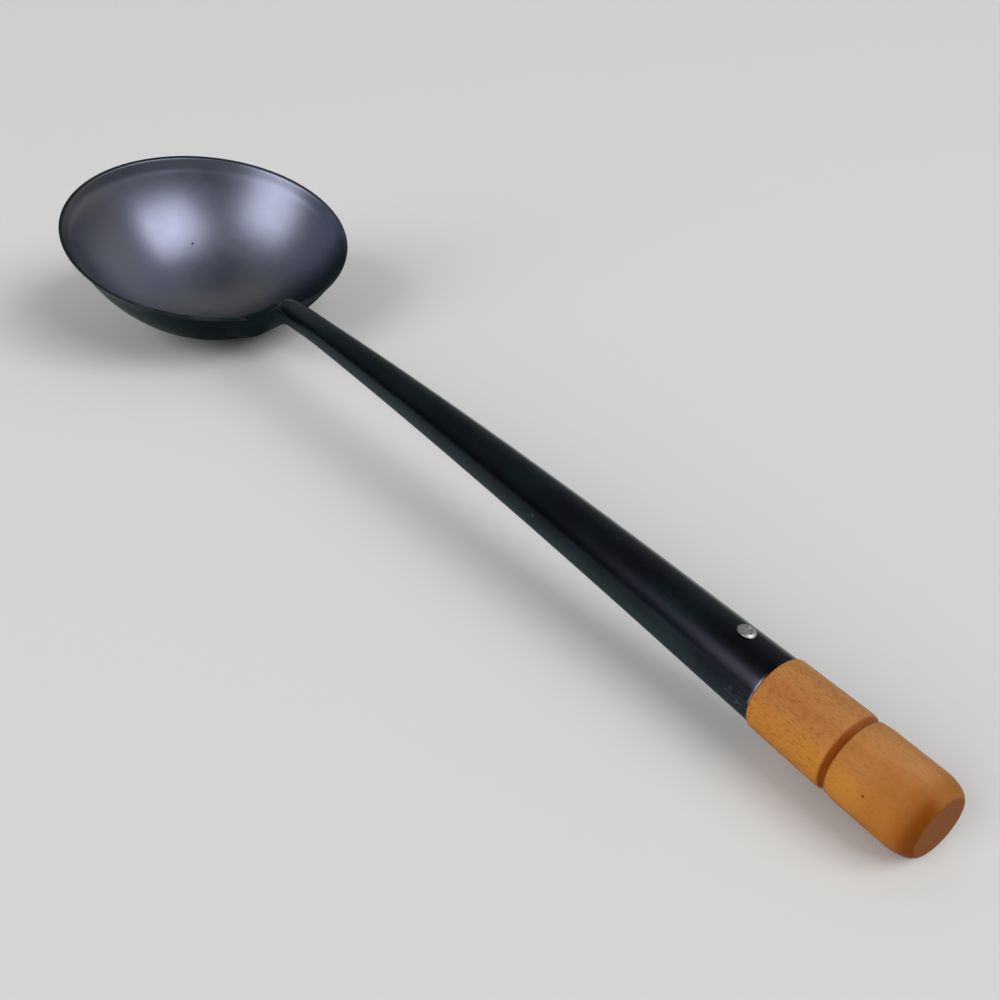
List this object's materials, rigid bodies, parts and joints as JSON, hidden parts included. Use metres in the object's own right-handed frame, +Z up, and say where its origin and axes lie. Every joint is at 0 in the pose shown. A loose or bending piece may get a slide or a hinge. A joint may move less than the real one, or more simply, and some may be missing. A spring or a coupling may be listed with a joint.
{
  "type": "wok ladle",
  "caption": "Long-handled wok ladle: a deep round blued-steel bowl on a tapered hollow steel handle, with a short turned wooden grip nailed into its end",
  "frame": {"origin": "on the table, under the middle of the ladle's length and width as it lies", "axes": "+X along the handle from the bowl to the grip, +Y to the left of that, +Z up"},
  "size_m": [0.4426, 0.12, 0.0582],
  "materials": {
    "blued_steel": "satin blued carbon steel, lavender grey where it catches the light",
    "black_steel": "satin black oxide on sheet steel, with a faint green and violet cast",
    "beech": "turned beech with a clear varnish",
    "bright_steel": "bare steel, hammered"
  },
  "bodies": {
    "root": {"bowl": "blued_steel", "handle_tube": "black_steel", "neck_weld": "black_steel", "grip": "beech", "grip_nail": "bright_steel"}
  },
  "joints": []
}
